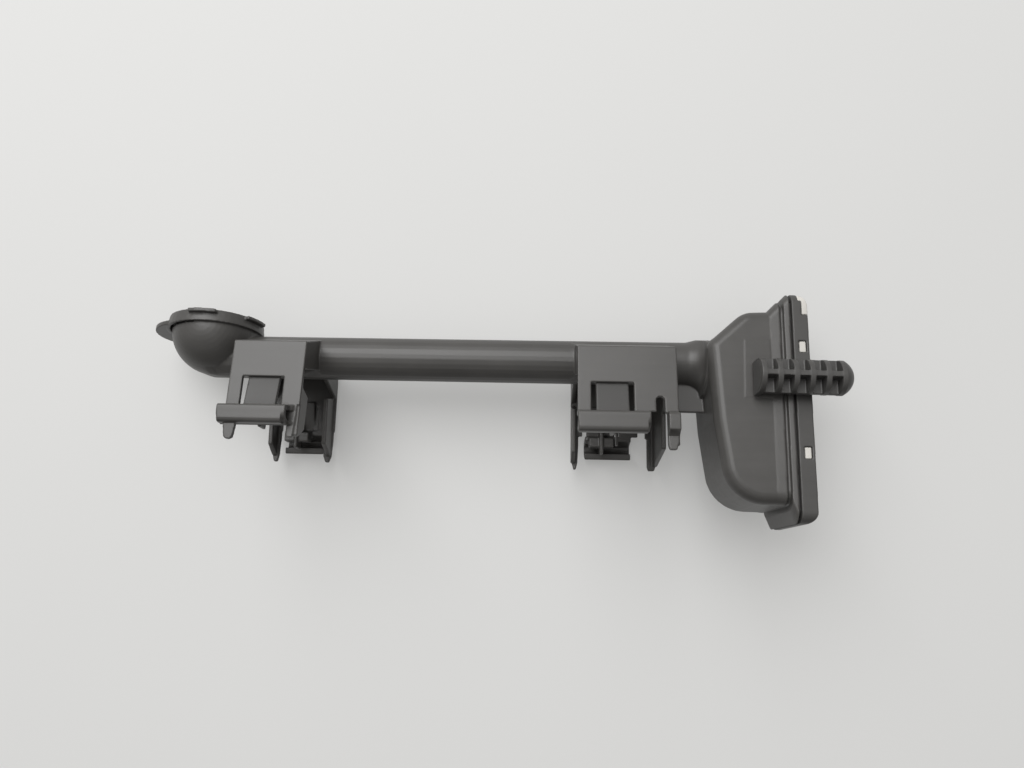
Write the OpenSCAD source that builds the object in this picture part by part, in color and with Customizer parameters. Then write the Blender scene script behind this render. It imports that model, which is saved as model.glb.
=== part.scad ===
// Water supply tube of a dishwasher's upper rack.
// It is drawn about the tube's own axis: X runs from the spray arm collar to the docking
// end, Y is the side the collar opens to, and Z is the front. lie() then rolls it by
// roll degrees onto the table, where it rests on its back release bars and a dock corner.

/* [Tube] */
// Outer diameter of the tube at the collar
tube_od = 19.1; // [17:0.1:21]
// Growth in diameter from the collar to the funnel, from the mould's draft
tube_draft = 0.5; // [0:0.1:1.2]
// Wall of the tube, elbow and funnel
wall = 1.8; // [1.4:0.1:2.4]
// Distance from the collar's axis to the funnel's back wall
tube_len = 219.5; // [200:0.5:240]

/* [Collar] */
// Radius of the elbow's round bowl
bowl_r = 19.3; // [17:0.1:19.6]
// Height of the bowl's centre above the tube's axis
bowl_rise = 11; // [8:0.5:13]
// Distance of the bowl's centre from the collar's axis
bowl_shift = 0.5; // [0:0.5:2]
// Outer radius of the skirted ring
ring_r = 21.1; // [20.5:0.1:24]
// Height of the ring
ring_h = 5.4; // [4:0.2:8]
// Height of the ring's lower edge above the tube's axis
ring_rise = 10.6; // [8:0.2:12]
// Wall of the ring's skirt
skirt = 1.2; // [1:0.1:1.6]
// Inner radius of the outlet neck
neck_r = 15.2; // [12:0.2:16]
// Reach of the large lug from the collar's axis
lug_reach = 29.8; // [26:0.2:34]
// Radius of the large lug's round end
lug_r = 18.8; // [12:0.2:20]
// Turn of the large lug toward the back
lug_turn = 25; // [0:5:60]

/* [Rack clips] */
// Distance from the tube's axis to the outside of a clip's plate, at its top
clip_z = 28; // [24:0.5:34]
// Outward lean of the plates
clip_lean = 3.6; // [1:0.2:6]
// Thickness of a clip's plates
clip_t = 2; // [1.4:0.1:2.4]
// Width of a clip without its wire slot
clip_w = 30.8; // [28:0.2:36]
// Top edge of the plates, below the tube's axis
clip_top = 0.5; // [0:0.5:5]
// Bottom edge of the plates, below the tube's axis
clip_bottom = 28.4; // [27:0.2:36]
// Reach of the legs below the tube's axis
clip_foot = 44.2; // [42:0.2:54]
// Distance from the collar's axis to the outlet clip
clip_a_x = 20.1; // [18:0.1:40]
// Gap between the dock clip and the funnel's back wall
clip_b_gap = 14.2; // [10:0.2:30]
// Width of the latch tongue
tongue_w = 13.4; // [10:0.2:15]
// Slot on each side of the latch tongue
tongue_slot = 2; // [1.2:0.1:3]
// Depth of the release bar in front of the plate
bar_z = 7.4; // [6:0.2:12]
// Height of the release bar
bar_h = 9.2; // [9:0.2:12]
// Drop of the release bar's upper edge from the plate to its front
bar_slope = 1.6; // [1:0.1:2.4]
// Rounding of the release bar's upper edge
bar_r = 1.2; // [0.8:0.1:1.6]
// Width of the slot for a rack wire
wire_slot = 3.5; // [3:0.1:5]
// Width of the leg beyond the wire slot
wire_leg = 5.6; // [4:0.2:8]

/* [Funnel] */
// Half depth of the funnel, front to back
funnel_z = 20; // [18:0.5:20.5]
// Top of the funnel above the tube's axis
funnel_top = 20; // [17:0.5:24]
// Bottom of the funnel below the tube's axis
funnel_bottom = 63.6; // [55:0.2:66]
// Length of the funnel from its back wall to the flange's flare, at the top
funnel_len = 28.8; // [26:0.2:40]
// Rounding of the funnel's edges
funnel_r = 5; // [4:0.5:6]
// Radius of the funnel's large lower corner
funnel_sweep = 17; // [13:1:22]
// Radius of the fillet between the tube and the funnel
fillet = 6; // [4:0.5:7]

/* [Dock] */
// Half depth of the flange, front to back
dock_z = 21; // [20.5:0.5:24]
// Top of the flange above the tube's axis
dock_top = 27.5; // [25:0.5:34]
// Bottom of the flange below the tube's axis
dock_bottom = 71.2; // [67:0.2:80]
// Rounding of the flange's corners
dock_r = 5; // [4:0.5:8]
// Length of the flare from the funnel to the rim's groove, at the top
flare = 6.1; // [5.6:0.1:9]
// Width of the two grooves round the flange
groove = 1.1; // [0.8:0.1:1.8]
// Width of the rib between the grooves
lip = 2.4; // [1.6:0.1:3]
// Width of the dock frame's rim
rim = 6.6; // [6:0.2:10]
// Wall of the dock frame
frame_wall = 2.4; // [2:0.1:3]
// Lean of the docking face
dock_tilt = 1; // [0:0.1:2.5]
// Clearance between the flange, the dock frame and the port seal
fit = 0.15; // [0.1:0.05:0.3]

/* [Guide pin] */
// Radius of the guide pin
pin_r = 7.3; // [7:0.1:9]
// Distance from the tube's axis to the pin's axis, toward the front
pin_z = 27; // [26:0.5:29]
// Drop of the pin below the tube's axis
pin_drop = 12.9; // [8:0.1:20]
// Length of the pin in front of the docking face
pin_ahead = 15.4; // [12:0.2:18]
// Length of the pin behind the docking face
pin_behind = 24; // [20:0.2:28]
// Width of one rib of the pin
pin_rib = 2.25; // [1.4:0.05:2.6]
// Thickness of the pin's spine
pin_spine = 1.8; // [1.2:0.1:2.2]

/* [Rest] */
// Roll of the part about the tube's axis as it lies
roll = 16.4; // [14:0.2:20]

/* [Hidden] */
$fn = 64;
eps = 0.01;
r0 = tube_od / 2;
r1 = r0 + tube_draft / 2;
flare_x = tube_len + funnel_len;
lip_x = flare_x + flare - lip;
rim_x = lip_x + lip + groove;
face_x = rim_x + rim;
clip_b_w = clip_w + 1 + wire_slot + wire_leg;
clip_b_x = tube_len - clip_b_gap - clip_b_w;
tongue_x = clip_w * 0.245;
win_y = -clip_top - 15.8;
bar_out = clip_z + (clip_bottom - clip_top) * tan(clip_lean) + bar_z;
bar_drop = bar_slope + bar_r / tan(45 + atan(bar_slope / (bar_z + clip_t)) / 2);
low_bar = (bar_out - bar_r) * cos(roll) - (clip_bottom + bar_drop) * sin(roll) + bar_r;
low_dock = dock_r + (dock_z - dock_r) * cos(roll) + (dock_top - dock_r) * sin(roll);
lift = max(low_bar, low_dock);
side_y = dock_r + (dock_z - dock_r) * sin(roll);
high_y = side_y + (dock_top - dock_r - flare * sin(dock_tilt)) * cos(roll);
low_y = -side_y - (dock_bottom - dock_r + (face_x - flare_x) * sin(dock_tilt)) * cos(roll);
pin_end = flare_x + (face_x + pin_ahead - flare_x) * cos(dock_tilt) - pin_drop * sin(dock_tilt);
lug_end = (lug_reach - lug_r) * cos(lug_turn) + lug_r;
mid_x = (pin_end - lug_end) / 2;

module lie() {
    translate([-mid_x, -(high_y + low_y) / 2, lift]) rotate([-roll, 0, 0]) children();
}

function unit(v) = v / norm(v);
function xy(p) = [p[0], p[1]];
// Outline with rounded corners: each entry of p is a corner's x, y and radius.
function rounded(p, n = 8) = [
    for (i = [0 : len(p) - 1])
        let(b = xy(p[i]), a = xy(p[(i + len(p) - 1) % len(p)]), c = xy(p[(i + 1) % len(p)]),
            r = p[i][2], u = unit(a - b), v = unit(c - b), h = acos(u * v) / 2)
        if (r <= 0) b
        else
            let(m = b + unit(u + v) * r / sin(h), s = b + u * r / tan(h), e = b + v * r / tan(h),
                t0 = atan2(s[1] - m[1], s[0] - m[0]), t1 = atan2(e[1] - m[1], e[0] - m[0]),
                d = t1 - t0 > 180 ? t1 - t0 - 360 : t1 - t0 < -180 ? t1 - t0 + 360 : t1 - t0)
            for (k = [0 : n]) m + r * [cos(t0 + d * k / n), sin(t0 + d * k / n)]
];

// Extrudes a section drawn in Y and Z along X.
module along_x(x, l) {
    translate([x, 0, 0]) rotate([90, 0, 90]) linear_extrude(l) children();
}

module bar_x(x, l, ra, rb) {
    translate([x, 0, 0]) rotate([0, 90, 0]) cylinder(h = l, r1 = ra, r2 = rb);
}

// Rounded rectangle across the dock, drawn in by inset.
module dock_section(inset = 0) {
    r = max(dock_r - inset * 0.8, 0.6);
    polygon(rounded([
        [-dock_bottom + inset, -dock_z + inset, r], [dock_top - inset, -dock_z + inset, r],
        [dock_top - inset, dock_z - inset, r], [-dock_bottom + inset, dock_z - inset, r]]));
}

// Rounded rectangle across the funnel's open end, drawn in by inset.
module funnel_section(inset = 0) {
    r = funnel_r - inset;
    polygon(rounded([
        [-funnel_bottom + inset, -funnel_z + inset, r], [funnel_top - inset, -funnel_z + inset, r],
        [funnel_top - inset, funnel_z - inset, r], [-funnel_bottom + inset, funnel_z - inset, r]]));
}

// The docking face leans back at its lower end.
module leaned() {
    translate([flare_x, 0, 0]) rotate([0, 0, -dock_tilt]) translate([-flare_x, 0, 0]) children();
}

// Section partway up the flare: up is its rise over the funnel's top, down below its bottom.
module flare_section(up, down, out) {
    t = funnel_top + up;
    b = -funnel_bottom - down;
    z = funnel_z + out;
    polygon(rounded([[b, -z, funnel_r], [t, -z, funnel_r], [t, z, funnel_r], [b, z, funnel_r]]));
}

// Side outline of the funnel, from its sloping shoulder down to the swept lower corner.
module funnel_outline() {
    polygon(rounded([
        [tube_len - 0.4, 4.6, 4],
        [tube_len + 2.6, -funnel_bottom * 0.46, 60],
        [tube_len + 7, -funnel_bottom, funnel_sweep],
        [flare_x + 12, -funnel_bottom - 0.3, 0],
        [flare_x + 12, funnel_top, 0],
        [tube_len + (funnel_top - 4.6) * 0.95, funnel_top - 0.8, 9]]));
}

// Solid form of the funnel with its rounded edges, drawn in by inset.
module funnel_form(inset = 0) {
    k = funnel_r;
    intersection() {
        minkowski() {
            translate([0, 0, -funnel_z + k]) linear_extrude(2 * (funnel_z - k))
                offset(delta = -k) funnel_outline();
            sphere(k - inset, $fn = 24);
        }
        translate([0, -100, -50]) cube([flare_x + (inset > 0 ? 1 : 0), 200, 100]);
    }
}

// Trumpet between the round tube and the funnel, held under the shoulder's line.
module throat() {
    x0 = tube_len - fillet;
    intersection() {
        rotate([0, 90, 0]) rotate_extrude() polygon(concat(
            [[0, x0 + 3], [0, x0 - 1], [r1 - 0.3, x0 - 1]],
            [for (a = [0 : 9 : 90]) [r1 + fillet * (1 - cos(a)), x0 + fillet * sin(a)]],
            [[r1 + fillet, tube_len + 3], [0, tube_len + 3]]));
        translate([0, 0, -40]) linear_extrude(80) polygon(rounded([
            [x0 - 2, -40, 0], [x0 - 2, r1 + 0.05, 0], [tube_len + 4.6, r1 + 0.05, 9],
            [tube_len + 12, r1 + 8, 0], [tube_len + 12, -40, 0]]));
        along_x(x0 - 2, 20) polygon([[-40, -20], [4.6, -20], [r1 + 2, -r1 * 0.8], [r1 + 2, r1 * 0.8],
            [4.6, 20], [-40, 20]]);
    }
}

// Solid form of the bowl with the neck over it, drawn in by inset.
module bowl_form(inset, top) {
    translate([bowl_shift, bowl_rise, 0]) intersection() {
        sphere(bowl_r - inset);
        translate([-50, -50 - (bowl_rise - ring_rise) - inset, -50]) cube([100, 50, 100]);
    }
    translate([0, 3, 0]) rotate([-90, 0, 0])
        cylinder(h = top - 3, r = neck_r + (inset > 0 ? 0 : wall));
}

// Ring with a hanging skirt, its small bayonet lugs and the large lug.
module ring() {
    top = ring_rise + ring_h;
    translate([0, ring_rise, 0]) rotate([-90, 0, 0]) difference() {
        cylinder(h = ring_h, r1 = ring_r, r2 = ring_r - 0.7);
        translate([0, 0, -eps]) cylinder(h = ring_h - wall, r = ring_r - skirt - 0.2);
        translate([0, 0, -1]) cylinder(h = ring_h + 2, r = neck_r);
    }
    lug_d = lug_reach - lug_r;
    translate([0, ring_rise + 0.4, 0]) rotate([-90, 0, 0]) linear_extrude(2) difference() {
        rotate(-lug_turn) translate([-lug_d, 0]) circle(lug_r);
        circle(ring_r - skirt - 0.1);
    }
    for (a = [78, -18, 200])
        translate([0, top - 2.4, 0]) rotate([-90, 0, 0]) rotate(-a) intersection() {
            linear_extrude(1.6) difference() {
                circle(ring_r + 1.6);
                circle(ring_r - 2);
            }
            translate([0, -6.5, -1]) cube([40, 13, 4]);
        }
}

// Front of a leaning plate at height y.
function plate_z(y) = clip_z + (-clip_top - y) * tan(clip_lean);

// Part of the leaning plate inside an outline drawn in X and Y.
module plate(outline, t = clip_t) {
    intersection() {
        linear_extrude(clip_z + 20) polygon(outline);
        along_x(-60, 160) polygon([[2, plate_z(2) - t], [2, plate_z(2)],
            [-60, plate_z(-60)], [-60, plate_z(-60) - t]]);
    }
}

// One jaw of a rack clip, its plate at the front. round_top rounds the upper corners.
module jaw(w, round_top) {
    win_x = tongue_x - tongue_slot;
    b = -clip_bottom;
    zb = plate_z(b);
    zw = plate_z(win_y);
    difference() {
        plate(rounded([[0, -clip_top, round_top], [w, -clip_top, round_top], [w, b, 0], [0, b, 0]]));
        translate([win_x, b - 1, 0])
            cube([tongue_w + 2 * tongue_slot, 1 + win_y - b, 90]);
    }
    // Latch tongue, leaning out to the release bar
    along_x(tongue_x, tongue_w) polygon([[win_y + 1.5, zw - clip_t], [win_y + 1.5, zw - clip_t - 1.7],
        [b - 3, zb - 0.4], [b - 3, zb + 1.4]]);
    // Catch with its middle rib, on the inside of the tongue
    along_x(tongue_x + 1, tongue_w - 2)
        polygon([[b - 0.4, zb - 0.6], [b - 1.6, zb - 7], [b - 5.8, zb - 7], [b - 5.8, zb - 2],
            [b - 3, zb + 1]]);
    along_x(tongue_x + tongue_w / 2 - 0.8, 1.6)
        polygon([[win_y - 4, zw - clip_t - 1], [b + 1, zb - 8], [b - 9, zb - 8], [b - 9, zb - 2],
            [b - 3, zb + 1]]);
}

// Release bar: a curled lip along the foot of a jaw.
module curled_bar(x, l) {
    b = -clip_bottom;
    z = plate_z(b) - clip_t;
    zo = bar_out;
    along_x(x, l) polygon(rounded([
        [b, z, 0], [b - bar_slope, zo, bar_r], [b - bar_h * 0.72, zo, 3.6], [b - bar_h, zo - 6, 0],
        [b - bar_h + 1.8, zo - 6.6, 0], [b - bar_h * 0.66, zo - clip_t, 2], [b - 3.6, zo - clip_t, 0.6],
        [b - clip_t - 0.2, z, 0]], 5));
}

// Leg at a jaw's end: a strip below the plate that tapers to its foot.
module leg(x, w, foot, tip) {
    b = -clip_bottom;
    plate(rounded([[x, b + 1, 0], [x + w, b + 1, 0], [x + w, b - 4, 0], [x + w - 0.4, -foot + 3, 0],
        [x + w / 2 + tip, -foot, 0.6], [x + w / 2 - tip, -foot, 0.6], [x + 0.4, -foot + 3, 0],
        [x, b - 4, 0]], 4));
}

// Stiffening return behind a jaw's edge, from height y0 down to y1.
module side_return(x, y0, y1, depth) {
    front = clip_t * 0.3;
    along_x(x, clip_t) polygon([[-y0, plate_z(-y0) - front], [-y0 - 3, plate_z(-y0) - depth],
        [-y1 + 4, plate_z(-y1) - depth], [-y1, plate_z(-y1) - clip_t - 1],
        [-y1, plate_z(-y1) - front]]);
}

// Gable between the plates and the tube: two sloping roofs and a web at each end.
module saddle(w) {
    q = r0 - wall / 2;
    for (s = [0, 1]) mirror([0, 0, s]) {
        along_x(0, w) polygon([[-clip_top, clip_z], [q * 0.78, q * 0.7], [q * 0.5, q * 0.7],
            [-clip_top - clip_t, clip_z - clip_t], [-clip_top - clip_t, clip_z]]);
        for (x = [0, w - clip_t]) along_x(x, clip_t)
            polygon([[-clip_top - 0.5, clip_z - 0.5], [q * 0.7, q * 0.65], [-q * 0.8, q * 0.55],
                [-clip_top - 12.5, plate_z(-clip_top - 12.5) - 0.5]]);
    }
}

module clip_a() {
    foot_z = bar_out - 4;
    saddle(clip_w);
    jaw(clip_w, 0);
    curled_bar(-0.6, clip_w - 1.8);
    leg(clip_w - 5, 3.8, clip_foot - 2, 1.2);
    side_return(clip_w - clip_t, 20, clip_foot - 3, 10);
    // Foot tab under the bar
    translate([0, 0, foot_z]) linear_extrude(clip_t)
        polygon(rounded([[1.4, -clip_bottom - bar_h + 4, 0], [7.6, -clip_bottom - bar_h + 4, 0],
            [6.2, -clip_foot + 0.3, 1.6], [2.8, -clip_foot + 0.3, 1.6]], 4));
    mirror([0, 0, 1]) {
        jaw(clip_w, 6);
        curled_bar(7, clip_w - 12.5);
        leg(1.4, 3.8, clip_foot - 1, 0.8);
        leg(clip_w - 5, 4.6, clip_foot - 1, 0.8);
        side_return(1.8, 22, clip_foot - 4, 10);
        side_return(clip_w - clip_t - 1, 12, clip_foot - 4, 13);
    }
}

// Leg of the dock clip beyond the slot for a cross wire.
module wire_side(front) {
    x = clip_w + 1;
    b = -clip_bottom;
    e = clip_b_w - clip_w + 1;
    top = -clip_top - 21.6 - wire_slot / 2;
    difference() {
        union() {
            translate([clip_w - 1, 0, 0]) plate(rounded([[0, -clip_top, 0],
                [e, -clip_top, front ? 0 : 6], [e, b, 0], [0, b, 0]]));
            leg(x + wire_slot, wire_leg, clip_foot, 1.4);
        }
        translate([x, 0, 0]) linear_extrude(60) {
            translate([0, b - 20]) square([wire_slot, top - b + 20]);
            translate([wire_slot / 2, top]) circle(wire_slot / 2);
            translate([-1.2, b - 20]) square([wire_slot + 2, 20 - 0.6]);
        }
    }
    side_return(clip_b_w - clip_t, front ? 28 : 14, clip_foot - 2, 9);
    if (front) along_x(x + wire_slot + 0.8, wire_leg - 0.8)
        polygon([[b, plate_z(b) - 0.5], [b - 1, plate_z(b) + 3.4], [b - 2, plate_z(b) + 4],
            [b - 8, plate_z(b) + 4], [b - 9, plate_z(b) + 2], [b - 11, plate_z(b) - 0.5]]);
}

module clip_b() {
    saddle(clip_b_w);
    jaw(clip_w, 0);
    curled_bar(-0.2, clip_w - 1.2);
    wire_side(true);
    mirror([0, 0, 1]) {
        jaw(clip_w, 0);
        curled_bar(6.8, clip_w - 9);
        leg(0.3, 3.4, clip_foot, 0.6);
        side_return(0, 14, clip_foot - 3, 10);
        wire_side(false);
    }
    // Rib under the tube that ties the clip to the funnel
    along_x(clip_b_w - clip_t, clip_b_gap + 5)
        polygon([[-r0 + 1, -1.2], [-r0 + 1, 1.2], [-22.2, 1.2], [-22.2, -1.2]]);
}

module supply_tube() {
    color("#5f5e5b") lie() difference() {
        union() {
            bar_x(bowl_shift, tube_len + 4 - bowl_shift, r0, r1);
            bowl_form(0, ring_rise + ring_h);
            ring();
            translate([clip_a_x, 0, 0]) clip_a();
            translate([clip_b_x, 0, 0]) clip_b();
            throat();
            funnel_form();
            leaned() {
                hull() {
                    along_x(flare_x - 0.6, 0.2) funnel_section();
                    along_x(lip_x - groove - 0.2, 0.2) flare_section(2.8, 0.4, 0.5);
                }
                along_x(lip_x - groove - 0.3, groove + 0.6) flare_section(1.4, -0.6, -0.8);
                hull() {
                    along_x(lip_x, 0.2) flare_section(4.4, 2.4, 0.7);
                    along_x(lip_x + lip - 0.2, 0.2) dock_section();
                }
                along_x(lip_x + lip - 0.3, groove + 2.7) dock_section(frame_wall + fit);
            }
        }
        bar_x(bowl_shift, tube_len + 8 - bowl_shift, r0 - wall, r1 - wall);
        bowl_form(wall, ring_rise + ring_h + 1);
        funnel_form(wall);
        leaned() {
            along_x(flare_x - 1, lip_x - flare_x + 2) funnel_section(wall + 0.6);
            along_x(lip_x + 0.8, 30) dock_section(frame_wall + fit + wall);
        }
    }
}

// Ribbed guide pin: a round pin cored out to a cross of spine and web between discs.
module guide_pin() {
    x0 = face_x - pin_behind;
    x1 = face_x + pin_ahead;
    first = x0 + 2.4;
    last = x1 - 6;
    pitch = (last - first + pin_rib) / 5;
    dome = 9.6;
    difference() {
        translate([0, -pin_drop, pin_z]) difference() {
            union() {
                rotate([0, 90, 0]) {
                    translate([0, 0, x0]) cylinder(h = 1.3, r1 = pin_r - 1.3, r2 = pin_r);
                    translate([0, 0, x0 + 1.3 - eps]) cylinder(h = x1 - x0 - 8, r = pin_r);
                    intersection() {
                        translate([0, 0, x1 - dome]) sphere(dome);
                        translate([0, 0, x1 - 7.5]) cylinder(h = 9, r = pin_r);
                    }
                }
                // Straight-sided foot of the first rib
                translate([x0, -pin_r, dock_z - pin_z]) cube([2.4, 2 * pin_r, pin_z - dock_z]);
            }
            for (i = [0 : 4], sy = [1, -1], sz = [1, -1])
                translate([first + i * pitch + (pitch - pin_rib) / 2,
                    sy * (pin_r + pin_spine / 2), sz * (pin_r + pin_spine / 2)])
                    cube([pitch - pin_rib, 2 * pin_r, 2 * pin_r], center = true);
        }
        // Clear of the flange and the funnel's side
        translate([x0 - 1, -pin_drop - 20, dock_z - 20 + 2 * fit]) cube([rim_x - x0 + 1, 40, 20]);
    }
    // Foot that ties the pin to the rim
    translate([rim_x, -pin_drop - 5, dock_z - 1]) cube([rim, 10, pin_z - dock_z + 1]);
}

// Snap windows in the rim's long sides, drawn in by inset.
module windows(inset = 0) {
    for (y = [3, -42.4])
        translate([face_x - 4.4 + inset, y - 2.5 + inset, -50]) cube([3.2 - 2 * inset, 5 - 2 * inset, 100]);
}

module dock_frame() {
    color("#504f4d") lie() leaned() {
        difference() {
            along_x(rim_x, rim) dock_section();
            along_x(rim_x - 1, rim + 2) dock_section(frame_wall);
            windows();
            // Corner left open for the seal
            translate([face_x - 2.6, dock_top - 10.4, -50]) cube([10, 20, 100]);
        }
        difference() {
            guide_pin();
            along_x(rim_x - 50, 90) dock_section(1);
        }
    }
}

module port_seal() {
    x0 = lip_x + lip + groove + 2.4 + fit;
    color("#d9d6cc") lie() leaned() difference() {
        union() {
            along_x(x0, face_x - x0) dock_section(frame_wall + fit);
            intersection() {
                windows(fit);
                along_x(x0, face_x - x0) dock_section(0.6);
            }
            intersection() {
                along_x(face_x - 2.6 + fit, 2.6 - fit) dock_section();
                translate([0, dock_top - 10.4 + fit, -50]) cube([600, 40, 100]);
            }
        }
        // Port mouth with its inner lip
        along_x(x0 - 1, 30) dock_section(frame_wall + 7);
        along_x(face_x - 1, 30) dock_section(frame_wall + 4);
    }
}

supply_tube();
dock_frame();
port_seal();
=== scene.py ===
import math
import bmesh
import bpy
import numpy as np
from mathutils import Matrix, Vector


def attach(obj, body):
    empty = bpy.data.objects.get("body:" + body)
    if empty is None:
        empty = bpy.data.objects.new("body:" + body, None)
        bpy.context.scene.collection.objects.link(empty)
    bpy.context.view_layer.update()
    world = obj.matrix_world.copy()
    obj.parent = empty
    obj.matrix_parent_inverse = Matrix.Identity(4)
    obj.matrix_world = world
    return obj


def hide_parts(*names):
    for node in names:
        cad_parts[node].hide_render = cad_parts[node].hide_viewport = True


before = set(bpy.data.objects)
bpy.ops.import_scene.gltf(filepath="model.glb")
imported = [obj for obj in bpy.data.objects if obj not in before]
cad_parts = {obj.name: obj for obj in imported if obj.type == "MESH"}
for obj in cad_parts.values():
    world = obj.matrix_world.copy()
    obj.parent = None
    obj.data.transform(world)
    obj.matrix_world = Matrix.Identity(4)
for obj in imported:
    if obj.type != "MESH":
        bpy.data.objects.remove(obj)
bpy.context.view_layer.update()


# Camera, held almost square above the table as the photograph was taken: a 36 mm wide
# sensor behind a 27 mm lens, about 0.38 m above the table.
camera = bpy.data.objects.new("camera", bpy.data.cameras.new("camera"))
bpy.context.scene.collection.objects.link(camera)
camera.data.sensor_width = 36.0
camera.data.lens = 27.18
camera.data.clip_start = 0.01
camera.matrix_world = Matrix((
    (0.99945925, -0.01729140, 0.02796811, 0.0221),
    (0.01633812, 0.99928960, 0.03396117, 0.0229),
    (-0.02853548, -0.03348586, 0.99903174, 0.37666),
    (0, 0, 0, 1)))
bpy.context.scene.camera = camera
bpy.context.scene.view_settings.view_transform = "Standard"


# Table top, a plain pale matt board. It belongs to the stage, not to the part. Sum is one
# value in a material: arithmetic on it adds Math nodes, and node() adds any other node.
class Sum:
    def __init__(self, tree, socket=None):
        self.tree, self.socket = tree, socket

    def node(self, kind, inputs=None, out=0, **settings):
        made = self.tree.nodes.new("ShaderNode" + kind)
        for name, value in settings.items():
            setattr(made, name, value)
        for name, value in (inputs or {}).items():
            if isinstance(value, Sum):
                self.tree.links.new(value.socket, made.inputs[name])
            else:
                made.inputs[name].default_value = value
        return Sum(self.tree, made.outputs[out])

    def maths(self, operation, *values):
        return self.node("Math", dict(enumerate(values)), operation=operation)

    def __add__(self, other): return self.maths("ADD", self, other)
    def __sub__(self, other): return self.maths("SUBTRACT", self, other)
    def __rsub__(self, other): return self.maths("SUBTRACT", other, self)
    def __mul__(self, other): return self.maths("MULTIPLY", self, other)
    def __abs__(self): return self.maths("ABSOLUTE", self)
    __radd__, __rmul__ = __add__, __mul__

    def step(self, low, high):
        return self.node("MapRange", {"Value": self, "From Min": low, "From Max": high},
                         interpolation_type="SMOOTHSTEP")

    def between(self, low, high):
        return self.step(low - 0.3, low + 0.3) * (1 - self.step(high - 0.3, high + 0.3))

    def mix(self, a, b):
        a, b = [(*c, 1) if isinstance(c, tuple) else c for c in (a, b)]
        return self.node("Mix", {0: self, 6: a, 7: b}, out=2, data_type="RGBA")


RAYS = ("Is Camera Ray", "Is Glossy Ray", "Is Transmission Ray")


def table_top():
    mat = bpy.data.materials.new("table_top_matt")
    mat.use_nodes = True
    shader = mat.node_tree.nodes["Principled BSDF"]
    start = Sum(mat.node_tree)
    place = start.node("TexCoord", out="Object")
    cloud = start.node("TexNoise", {"Vector": place, "Scale": 3.0, "Detail": 2.0})
    shade = cloud.mix((0.42, 0.42, 0.415), (0.45, 0.45, 0.445))
    mat.node_tree.links.new(shade.socket, shader.inputs["Base Color"])
    seen = sum((start.node("LightPath", out=ray) for ray in RAYS[1:]), start.node("LightPath", out=RAYS[0]))
    glow = seen.step(0, 1).mix((0.0, 0.0, 0.0), (0.235, 0.235, 0.232))
    mat.node_tree.links.new(glow.socket, shader.inputs["Emission Color"])
    shader.inputs["Emission Strength"].default_value = 1.0
    shader.inputs["Roughness"].default_value = 0.6
    shader.inputs["Specular IOR Level"].default_value = 0.2
    mesh = bpy.data.meshes.new("table_top")
    mesh.from_pydata([(-3, -3, 0), (3, -3, 0), (3, 3, 0), (-3, 3, 0)], [], [(0, 1, 2, 3)])
    floor = bpy.data.objects.new("table_top", mesh)
    mesh.materials.append(mat)
    bpy.context.scene.collection.objects.link(floor)


table_top()


# Light, one large soft box above the part's far side and a sky that fades from that side to
# the near one, so that the faces turned toward the near side fall dark.
def soft_box(name, place, aim, width, height, watts):
    lamp = bpy.data.objects.new(name, bpy.data.lights.new(name, "AREA"))
    lamp.data.shape = "RECTANGLE"
    lamp.data.size, lamp.data.size_y, lamp.data.energy = width, height, watts
    lamp.matrix_world = (Matrix.Translation(place)
                         @ (Vector(place) - Vector(aim)).to_track_quat("Z", "Y").to_matrix().to_4x4())
    bpy.context.scene.collection.objects.link(lamp)


LIGHT_SIDE = Vector((-0.25, 0.63, 0.73)).normalized()
soft_box("soft_box", LIGHT_SIDE * 1.65, (0, 0, 0.03), 1.2, 1.4, 26)
world = bpy.data.worlds.new("sky")
bpy.context.scene.world = world
world.use_nodes = True
sky = Sum(world.node_tree)
facing = sky.node("VectorMath", {0: sky.node("TexCoord", out="Generated"), 1: LIGHT_SIDE},
                  out="Value", operation="DOT_PRODUCT")
back = world.node_tree.nodes["Background"]
back.inputs["Color"].default_value = (1, 0.99, 0.97, 1)
world.node_tree.links.new((0.13 + facing.step(-0.3, 1.0) * 0.60).socket, back.inputs["Strength"])


# Supply tube, one moulding in dark grey polypropylene: a round tube with its elbow, collar,
# rack clips and funnel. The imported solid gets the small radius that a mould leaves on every
# edge, and its own axis, with the roll it lies at, places its marks.
AXIS = Vector((-0.124251, 0.0211276, 0.0269362))
ROLL = math.radians(16.4)
LIE = Matrix.Translation(AXIS) @ Matrix.Rotation(-ROLL, 4, "X") @ Matrix.Diagonal((0.001,) * 3).to_4x4()


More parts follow.
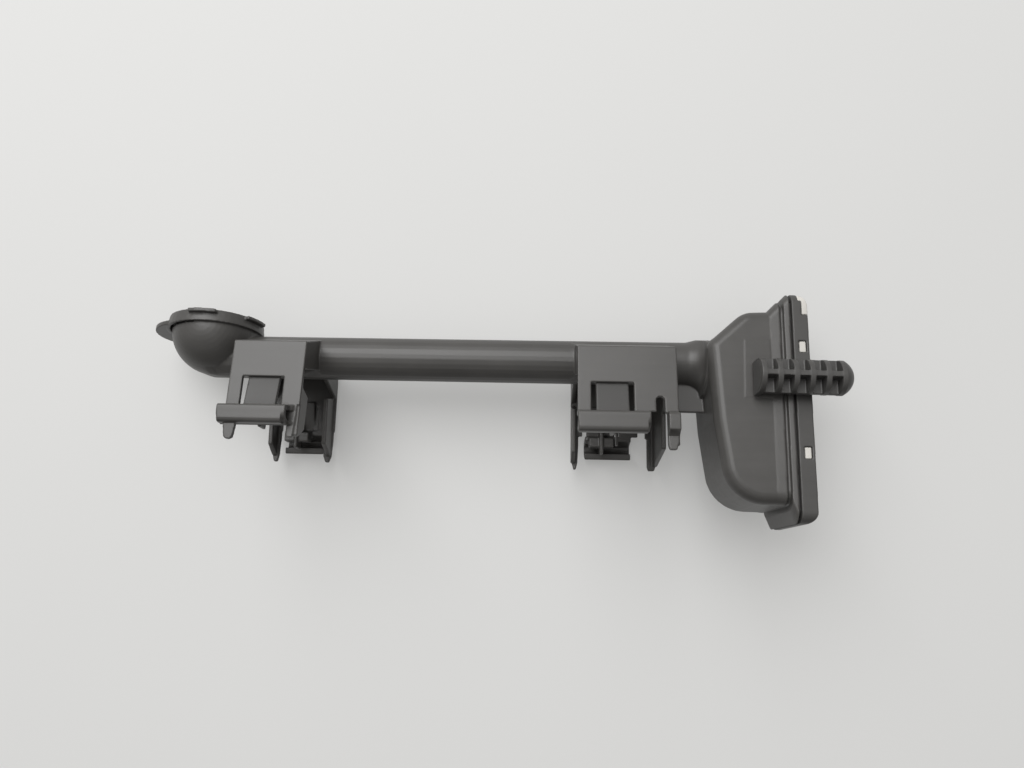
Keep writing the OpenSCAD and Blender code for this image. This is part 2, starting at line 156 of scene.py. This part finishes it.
def moulded(name, tone, rough, line=0.0, grain=1.0, tongues_matt_and_shaded=None):
    mat = bpy.data.materials.new(name)
    mat.use_nodes = True
    tree = mat.node_tree
    shader = tree.nodes["Principled BSDF"]
    start = Sum(tree)
    own = start.node("Mapping", {"Vector": start.node("TexCoord", out="Object"), "Location": AXIS,
                                 "Rotation": (-ROLL, 0, 0), "Scale": (0.001, 0.001, 0.001)},
                     vector_type="TEXTURE")
    cloud = start.node("TexNoise", {"Vector": own, "Scale": 0.045, "Detail": 3.0,
                                    "Roughness": 0.55})
    fine = start.node("TexNoise", {"Vector": own, "Scale": 2.6, "Detail": 2.0})
    along = start.node("Mapping", {"Vector": own, "Scale": (0.03, 0.3, 0.3)})
    flow = start.node("TexNoise", {"Vector": along, "Scale": 1.0, "Detail": 2.0})
    rub = start.node("TexNoise", {"Vector": own, "Scale": 0.32, "Detail": 5.0,
                                  "Roughness": 0.7}).step(0.6, 0.75)
    base = (cloud * 0.7 + flow * 0.3).step(0.3, 0.7).mix(
        tuple(c * 0.9 for c in tone), tuple(c * 1.1 for c in tone))
    # Painted shade: the recessed tongues of the clips' front plates are darkened to 0.6 of the tone where
    # less light falls on them, and the same mask also makes them a little rougher.
    if tongues_matt_and_shaded:
        x, y, z = [start.node("SeparateXYZ", {"Vector": own}, out=axis) for axis in "XYZ"]
        spans, drop, front = tongues_matt_and_shaded
        shaded_tongue = sum((x.between(*span) for span in spans[1:]), x.between(*spans[0]))
        shaded_tongue = shaded_tongue * y.between(*drop) * z.step(front, front + 1)
        base = shaded_tongue.mix(base, tuple(c * 0.6 for c in tone))
        flow = flow + shaded_tongue * 0.6
    scuffed = (rub * 0.1).mix(base, tuple(min(1.0, c * 1.8 + 0.02) for c in tone))
    tree.links.new(scuffed.socket, shader.inputs["Base Color"])
    satin = rough + (flow - 0.5) * 0.08 + (cloud - 0.5) * 0.1 + rub * 0.06
    tree.links.new(satin.socket, shader.inputs["Roughness"])
    height = fine * (0.01 * grain) + cloud * 0.04
    if line:
        depth = start.node("SeparateXYZ", {"Vector": own}, out="Z")
        height = height + (1 - abs(depth).step(0.05, 0.28)) * line
    bump = start.node("Bump", {"Height": height, "Strength": 1.0, "Distance": 0.001})
    tree.links.new(bump.socket, shader.inputs["Normal"])
    shader.inputs["IOR"].default_value = 1.49
    return mat


def add_hull(piece, points):
    hull = bmesh.new()
    for point in points:
        hull.verts.new(LIE @ Vector(point))
    made = bmesh.ops.convex_hull(hull, input=hull.verts)
    loose = {v for v in made["geom_interior"] if isinstance(v, bmesh.types.BMVert)}
    bmesh.ops.delete(hull, geom=list(loose), context="VERTS")
    bmesh.ops.recalc_face_normals(hull, faces=hull.faces)
    extra = bpy.data.meshes.new("extra")
    hull.to_mesh(extra)
    both = bmesh.new()
    both.from_mesh(piece.data)
    both.from_mesh(extra)
    both.to_mesh(piece.data)
    hull.free()
    both.free()
    bpy.data.meshes.remove(extra)


def plain_mesh(piece):
    done = bpy.data.meshes.new_from_object(
        piece.evaluated_get(bpy.context.evaluated_depsgraph_get()))
    piece.modifiers.clear()
    piece.data = done
    return piece


def closed_copy(node, name):
    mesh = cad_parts[node].data.copy()
    mesh.materials.clear()
    bm = bmesh.new()
    bm.from_mesh(mesh)
    bmesh.ops.remove_doubles(bm, verts=bm.verts, dist=2e-6)
    bm.to_mesh(mesh)
    bm.free()
    if mesh.has_custom_normals:
        mesh.attributes.remove(mesh.attributes["custom_normal"])
    piece = bpy.data.objects.new(name, mesh)
    bpy.context.scene.collection.objects.link(piece)
    return piece


def reshape(piece, change):
    co = np.empty(len(piece.data.vertices) * 3)
    piece.data.vertices.foreach_get("co", co)
    inverse, matrix = np.array(LIE.inverted()), np.array(LIE)
    own = change(co.reshape(-1, 3) @ inverse[:3, :3].T + inverse[:3, 3])
    piece.data.vertices.foreach_set("co", (own @ matrix[:3, :3].T + matrix[:3, 3]).ravel())
    piece.data.update()


def rise(values, low, high):
    share = np.clip((values - low) / (high - low), 0, 1)
    return share * share * (3 - 2 * share)


def soften(piece, voxel, rounds, change=None):
    remesh = piece.modifiers.new("remesh", "REMESH")
    remesh.mode, remesh.voxel_size, remesh.use_smooth_shade = "VOXEL", voxel, True
    if change:
        reshape(plain_mesh(piece), change)
    smooth = piece.modifiers.new("smooth", "SMOOTH")
    smooth.factor, smooth.iterations = 0.5, rounds
    return plain_mesh(piece)


def thin_out(piece, most):
    faces = 2 * len(piece.data.polygons)
    if faces > most:
        piece.modifiers.new("fewer", "DECIMATE").ratio = most / faces
    weigh = piece.modifiers.new("weigh", "WEIGHTED_NORMAL")
    weigh.weight = 50
    return plain_mesh(piece)


TUBE_END, SHOULDER_END, FLARE, LIP, RIM, FACE = 219.5, 236.5, 248.3, 252.0, 255.5, 262.1
LEAN = math.sin(math.radians(1))
RING_TOP, RING_R = 16.0, 20.7
CLIP_A, CLIP_B, BAR_FRONT = 20.1, 164.4, 37.16


# Small lugs of the ring, folded into its wall here and moulded anew at their places
def without_lugs(own):
    x, y, z = own.T
    r = np.maximum(np.hypot(x, z), 1e-6)
    lug = (y > RING_TOP - 2.8) & (y < RING_TOP - 0.4) & (r > RING_R + 0.1) & (r < RING_R + 3)
    pull = np.where(lug, (RING_R - 0.15) / r, 1)
    return np.stack((x * pull, y, z * pull), 1)


# Shoulder, flare, grooves and release bars, drawn out to the lines of the real moulding
def true_lines(own):
    x, y, z = own.T
    shoulder = 1.2 * np.clip((y + 29) / 33.6, 0, 1) + 1.2 * np.clip((y - 4.6) / 14.6, 0, 1)
    shoulder *= rise(x, TUBE_END - 4, TUBE_END) * (1 - rise(x, 234, 244))
    u = x - LEAN * y * rise(x, 244, 249)
    flare = np.interp(u, (SHOULDER_END, FLARE, LIP, RIM, FACE), (0, -1.0, 0.5, 0.5, 0.4))
    crest = np.interp(u, (FLARE, LIP - 1.3, LIP - 0.7, LIP, LIP + 2.2), (0, 1.2, 2.0, 0.8, 0))
    bar = rise(z, 30.5, 31.5) * rise(-y, 28, 29)
    short = 1.2 * rise(x, CLIP_A + 22, CLIP_A + 28.4) * (x < CLIP_A + 32)
    short += 0.8 * rise(x, CLIP_B + 24, CLIP_B + 29.4) * (x < CLIP_B + 33)
    tall = 1.6 * rise(-z, 30.5, 31.5) * rise(-y, 31, 36)
    ramp = x + shoulder - 226.1
    throat = np.where((x > TUBE_END - 6) & (x < TUBE_END + 9) & (y > 9),
                      9.85 + 0.45 * (ramp + np.sqrt(ramp * ramp + 5)), 99)
    crown = np.maximum(np.interp(np.abs(z), (4, 5, 13, 20), (15, 9.9, 7, 2)), 4.9 + (ramp + 5.8) * 0.9)
    throat = np.where((x > TUBE_END - 3) & (x < TUBE_END + 4), np.minimum(throat, crown), throat)
    belly = np.where(x < 9, 0.008 * (9 - x) ** 2 - 9.55, -99)
    panel = np.minimum(np.minimum(x - 234, 247.8 - x), np.minimum(y + 19.8, 6.1 - y))
    panel = 0.12 * rise(panel, 0, 0.8) * (np.abs(z - 20) < 1)
    return np.stack((x + shoulder + flare - bar * short,
                     np.clip(y, belly, throat) + crest * rise(y, 10, 20) - tall, z + panel), 1)


tube = closed_copy("supply_tube", "supply_tube_moulding")
reshape(tube, without_lugs)
# Heel that carries the bowl's underside on into the tube's
bowl = Vector((0.5, 11, 0))
under = [Matrix.Rotation(math.radians(-4), 3, "Z") @ Vector((
    math.sin(t) * math.cos(a), -math.cos(t), math.sin(t) * math.sin(a))) * 19.25
    for t in map(math.radians, (0, 8, 16, 24)) for a in [math.tau * k / 16 for k in range(16)]]
heel = [(x, -9.53 * math.cos(a), 9.53 * math.sin(a))
        for a in [math.radians(k) for k in range(-40, 41, 8)] for x in (0.5, 3)]
add_hull(tube, [bowl + p for p in under] + heel)
# Flat fronts of the release bars
for low, high, foot in ((19.9, 46.8, -37.4), (164.5, 192.7, -38.4)):
    add_hull(tube, [(x, y, 37.14 - z) for x in (low, high)
                    for y, z in ((-31, 0), (foot + 1.8, 0), (foot + 0.8, 0.35), (foot + 0.2, 1.1),
                                 (foot, 2.2), (foot, 4), (-31, 4))])
# Foot of the outlet clip's front plate beside its leg, and the closed slot behind its back tongue
add_hull(tube, [(x, y, z) for x in (43.2, 46.2) for y in (-28, -34) for z in (28.6, 30.0)])
add_hull(tube, [(x, y, z) for x in (40.6, 43.5) for y, z in (
    (-16.5, -27.4), (-16.5, -28.6), (-29.5, -28.2), (-29.5, -29.3))])
# Thin stop below the dock clip's front catch, and the deep web behind its wire slot
add_hull(tube, [(x, y, z) for x in (180.1, 181.1) for y, z in (
    (-28.4, 25.8), (-41.8, 21.8), (-41.8, 23.8), (-34.4, 28.8), (-31.4, 30.2))])
add_hull(tube, [(x, y, z) for x in (203.3, 205.3) for y, z in (
    (-8, -27.9), (-11, -0.5), (-38.2, -2.6), (-42.2, -27.6), (-42.2, -30.0))])
# Three small lugs of the bayonet
for turn in map(math.radians, (86, 18, 190)):
    add_hull(tube, [Matrix.Rotation(-turn, 3, "Y") @ Vector((r, RING_TOP - y, w))
                    for y in (1.9, 0.3) for r, w in (
                        (18.5, -6), (18.5, 6), (21.9, -6), (21.9, 6), (22.5, -3), (22.5, 3),
                        (22.7, 0))])
soften(tube, 0.00033, 3, true_lines)
thin_out(tube, 195000)
# The tube's material paints shade on the recessed tongues of both clips' front plates.
tube.data.materials.append(moulded(
    "tube_plastic_satin", (0.052, 0.050, 0.0475), 0.41, line=0.05,
    tongues_matt_and_shaded=(((27.7, 41.0), (172.0, 185.3)), (-28.2, -16.4), 23)))
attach(tube, "root")
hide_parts("supply_tube")


# Dock frame, a second moulding snapped over the funnel's flange: a rim with snap windows,
# rounded at both ends of its face. Its guide pin is cut from the copy here and made in the
# next section, and the rim's open upper corners go to the seal.
def leaning(x, y, z):
    lean = Matrix.Translation((FLARE, 0, 0)) @ Matrix.Rotation(math.radians(-1), 4, "Z")
    return LIE @ lean @ Vector((x - FLARE, y, z))


def cut(piece, outline, low, high, operation):
    block = bmesh.new()
    ends = [[block.verts.new(leaning(x, y, z)) for x, y in outline] for z in (low, high)]
    for a, b in zip(range(len(outline)), [*range(1, len(outline)), 0]):
        block.faces.new((ends[0][a], ends[0][b], ends[1][b], ends[1][a]))
    block.faces.new(ends[0][::-1])
    block.faces.new(ends[1])
    bmesh.ops.recalc_face_normals(block, faces=block.faces)
    tool = bpy.data.objects.new("tool", bpy.data.meshes.new("tool"))
    block.to_mesh(tool.data)
    block.free()
    bpy.context.scene.collection.objects.link(tool)
    boolean = piece.modifiers.new("cut", "BOOLEAN")
    boolean.object, boolean.operation = tool, operation
    plain_mesh(piece)
    bpy.data.objects.remove(tool)
    return piece


def box(x0, x1, y0, y1):
    return [(x0, y0), (x1, y0), (x1, y1), (x0, y1)]


DOCK_TOP, DOCK_BOTTOM = 27.5, -71.2
rounded_end = [(FACE - 20, DOCK_BOTTOM)] + [
    (FACE - r + r * math.cos(a), y - side * r + r * math.sin(a))
    for y, r, side, start in ((DOCK_BOTTOM, 4.9, -1, -90), (DOCK_TOP, 6.5, 1, 0))
    for a in [math.radians(start + k * 10) for k in range(10)]] + [(FACE - 20, DOCK_TOP)]
upper_corner = box(FACE - 3.9, FACE + 1, DOCK_TOP - 4, DOCK_TOP + 1)
rim = cut(closed_copy("dock_frame", "dock_frame_rim"), box(230, 285, -22, -2), 21.02, 45, "DIFFERENCE")
corner_pieces = cut(closed_copy("dock_frame", "corner_pieces"), upper_corner, -50, 50, "INTERSECT")
cut(rim, rounded_end, -50, 50, "INTERSECT")
cut(rim, upper_corner, -50, 50, "DIFFERENCE")
thin_out(soften(rim, 0.0003, 3, lambda own: own + (0.45, 0, 0)), 120000)
frame_satin = moulded("frame_plastic_satin", (0.049, 0.0475, 0.0455), 0.44)
rim.data.materials.append(frame_satin)
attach(rim, "root")


# Guide pin, moulded with the rim: a round pin cored out to a cross of two webs between five
# windows, with a blunt nose that finds its hole in the machine's port.
class Tree:
    def __init__(self, name, sizes):
        self.group = bpy.data.node_groups.new(name, "GeometryNodeTree")
        self.group.interface.new_socket("Geometry", in_out="OUTPUT", socket_type="NodeSocketGeometry")
        self.names = {}
        for label, value in sizes.items():
            whole = isinstance(value, int)
            socket = self.group.interface.new_socket(
                label, in_out="INPUT", socket_type="NodeSocketInt" if whole else "NodeSocketFloat")
            socket.default_value = value
            self.names[label] = socket.identifier
        self.given = self.add("NodeGroupInput")

    def add(self, kind, inputs=None, **settings):
        made = self.group.nodes.new(kind)
        for name, value in settings.items():
            setattr(made, name, value)
        for name, value in (inputs or {}).items():
            if isinstance(value, bpy.types.NodeSocket):
                self.group.links.new(value, made.inputs[name])
            else:
                made.inputs[name].default_value = value
        return made

    def sum(self, operation, a, b):
        made = self.add("ShaderNodeMath", {0: a, 1: b}, operation=operation)
        return made.outputs[0]

    def vector(self, x=0.0, y=0.0, z=0.0):
        return self.add("ShaderNodeCombineXYZ", {0: x, 1: y, 2: z}).outputs[0]


def guide_pin():
    sizes = {"Radius": 0.0073, "Rib": 0.0022, "Pitch": 0.00642, "Ribs": 6, "Web": 0.0022,
             "Back": 0.0024}
    pin = Tree("guide_pin_ribs", sizes)
    given = pin.given.outputs
    disc = pin.add("GeometryNodeMeshCylinder", {"Vertices": 96, "Radius": given["Radius"],
                                                "Depth": given["Rib"]})
    turned = pin.add("GeometryNodeTransform", {"Geometry": disc.outputs["Mesh"],
                                               "Rotation": (0, math.pi / 2, 0)})
    first = pin.sum("SUBTRACT", given["Back"], pin.sum("MULTIPLY", given["Rib"], 0.5))
    row = pin.add("GeometryNodeMeshLine", {"Count": given["Ribs"], "Start Location": pin.vector(first),
                                           "Offset": pin.vector(given["Pitch"])})
    ribs = pin.add("GeometryNodeInstanceOnPoints", {"Points": row.outputs[0],
                                                    "Instance": turned.outputs[0]})
    length = pin.sum("MULTIPLY", given["Pitch"], 5.0)
    wide = pin.sum("SUBTRACT", pin.sum("MULTIPLY", given["Radius"], 2.0), 0.0002)
    middle = pin.vector(pin.sum("ADD", given["Back"], pin.sum("MULTIPLY", length, 0.5)))
    webs = []
    for size in (pin.vector(length, given["Web"], wide), pin.vector(length, wide, given["Web"])):
        web = pin.add("GeometryNodeMeshCube", {"Size": size})
        webs.append(pin.add("GeometryNodeTransform", {"Geometry": web.outputs["Mesh"],
                                                      "Translation": middle}))
    joined = pin.add("GeometryNodeJoinGeometry")
    real = pin.add("GeometryNodeRealizeInstances", {"Geometry": ribs.outputs[0]})
    for part in (real, *webs):
        pin.group.links.new(part.outputs[0], joined.inputs[0])
    finish = pin.add("GeometryNodeSetMaterial", {"Geometry": joined.outputs[0],
                                                 "Material": frame_satin})
    out = pin.add("NodeGroupOutput", {0: finish.outputs[0]})
    piece = bpy.data.objects.new("guide_pin", bpy.data.meshes.new("guide_pin"))
    bpy.context.scene.collection.objects.link(piece)
    ribbed = piece.modifiers.new("ribs", "NODES")
    ribbed.node_group = pin.group
    for label, value in sizes.items():
        ribbed[pin.names[label]] = value
    plain_mesh(piece)
    # Back block, nose and foot, each a closed form of its own
    bm = bmesh.new()
    bm.from_mesh(piece.data)
    radius, last, tip, blunt = 0.0073, 0.0323, 0.0388, 0.0081
    profile = [(0.0, 0.006), (0.0013, radius), (0.0024, radius)]
    nose = [(last, radius)] + [
        (tip - blunt * (1 - math.cos(a)), blunt * math.sin(a))
        for a in [math.asin(min(1.0, radius / blunt)) * k / 12 for k in range(12, 0, -1)]]
    for outline in (profile, nose):
        rings = [[bm.verts.new((x, r * math.cos(t), r * math.sin(t)))
                  for t in [math.tau * k / 96 for k in range(96)]] for x, r in outline]
        for a, b in zip(rings, rings[1:]):
            for k in range(96):
                bm.faces.new((a[k], a[k - 1], b[k - 1], b[k]))
        bm.faces.new(rings[0])
        bm.faces.new(rings[-1][::-1])
    for low, high in (((0, -radius, -0.0059), (0.0024, radius, 0)),
                      ((0.0177, -0.005, -0.0062), (0.0242, 0.005, 0))):
        box = bmesh.ops.create_cube(bm, size=1)["verts"]
        bmesh.ops.transform(bm, verts=box, matrix=Matrix.Translation(
            (Vector(low) + Vector(high)) / 2) @ Matrix.Diagonal([*(Vector(high) - Vector(low)), 1]))
    for v in bm.verts:
        if v.co.x < 0.0242 or abs(v.co.y) < 0.0012:
            v.co.z = max(v.co.z, -0.0057)
        v.co = leaning(238.3 + v.co.x * 1000, -12.2 + v.co.y * 1000, 27 + v.co.z * 1000)
    bmesh.ops.recalc_face_normals(bm, faces=bm.faces)
    bm.to_mesh(piece.data)
    bm.free()
    thin_out(soften(piece, 0.00025, 3), 120000)
    piece.data.materials.clear()
    piece.data.materials.append(frame_satin)
    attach(piece, "root")
    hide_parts("dock_frame")


guide_pin()
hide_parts("dock_frame")


# Port seal, an off-white soft insert pressed into the rim. It shows at the rim's open upper
# corners and through the snap windows.
seal = closed_copy("port_seal", "port_seal_moulding")
both = bmesh.new()
both.from_mesh(seal.data)
both.from_mesh(corner_pieces.data)
both.to_mesh(seal.data)
both.free()
bpy.data.objects.remove(corner_pieces)
cut(seal, rounded_end, -50, 50, "INTERSECT")
thin_out(soften(seal, 0.0003, 3, lambda own: own + (0.45, 0, 0)), 120000)
seal.data.materials.append(moulded("seal_rubber_matt", (0.50, 0.485, 0.455), 0.6, grain=0.6))
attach(seal, "root")
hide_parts("port_seal")
